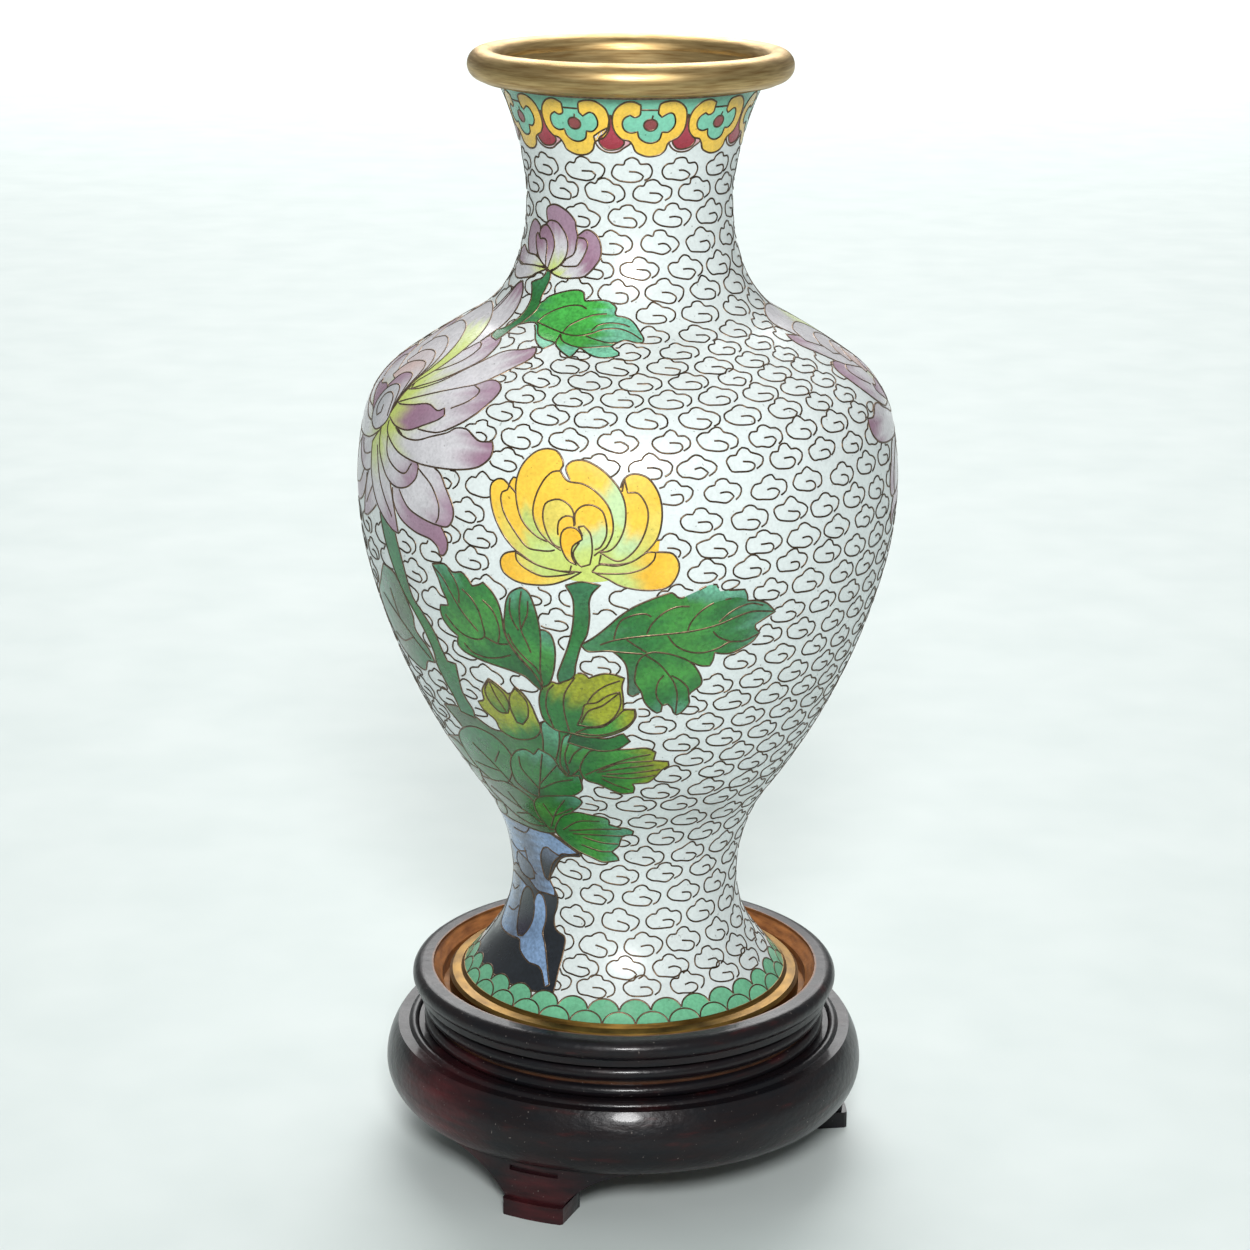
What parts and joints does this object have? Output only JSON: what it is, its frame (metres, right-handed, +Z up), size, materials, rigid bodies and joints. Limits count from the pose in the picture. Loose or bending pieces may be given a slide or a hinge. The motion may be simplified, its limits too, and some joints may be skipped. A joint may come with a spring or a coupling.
{
  "type": "cloisonne vase",
  "caption": "Cloisonne baluster vase with a gilt rim and foot ring, lifting out of a turned wooden stand on bracket feet.",
  "frame": {"origin": "on the vase's axis, at the surface that the stand's feet rest on", "axes": "+Z up along the axis, -Y to the front, where the yellow flower is"},
  "size_m": [0.0862, 0.0862, 0.1814],
  "materials": {
    "gilt_brass": "satin gilt brass with a worn sheen",
    "copper": "raised copper sheet, dull, hidden under the enamel",
    "copper_wire": "flat copper wire, ground flush and lightly gilt",
    "turquoise_enamel": "polished opaque turquoise enamel",
    "white_enamel": "polished opaque white enamel with faint pits",
    "green_enamel": "polished opaque jade green enamel",
    "lining_enamel": "plain blue counter enamel",
    "mauve_enamel": "polished mauve enamel shading to lilac",
    "yellow_enamel": "polished golden yellow enamel shading to pale green",
    "red_enamel": "polished dark red enamel",
    "leaf_enamel": "polished deep green enamel shading to yellow-green",
    "rock_enamel": "polished blue enamel shading to black",
    "lacquered_wood": "black-brown gloss lacquer that shows red where it is thin",
    "bare_wood": "bare turned wood, orange brown",
    "dowel_wood": "bare dowel"
  },
  "bodies": {
    "stand": {"seat_ring": "lacquered_wood", "seat_floor": "bare_wood", "base_ring": "lacquered_wood", "foot_front": "lacquered_wood", "foot_right": "lacquered_wood", "foot_left": "lacquered_wood", "foot_pins": "dowel_wood"},
    "vase": {"rim_ring": "gilt_brass", "throat_sleeve": "gilt_brass", "neck_core": "copper", "shoulder_core": "copper", "belly_core": "copper", "foot_core": "copper", "base_plate": "copper", "base_enamel": "lining_enamel", "inner_enamel": "lining_enamel", "foot_ring": "gilt_brass", "collar_enamel": "turquoise_enamel", "collar_wire": "copper_wire", "ground_enamel": "white_enamel", "scale_enamel": "green_enamel", "foot_wire": "copper_wire"}
  },
  "joints": [
    {"name": "vase_lift", "type": "slide", "parent": "stand", "child": "vase", "axis": [0, 0, 1], "range_m": [0, 0.04]}
  ]
}
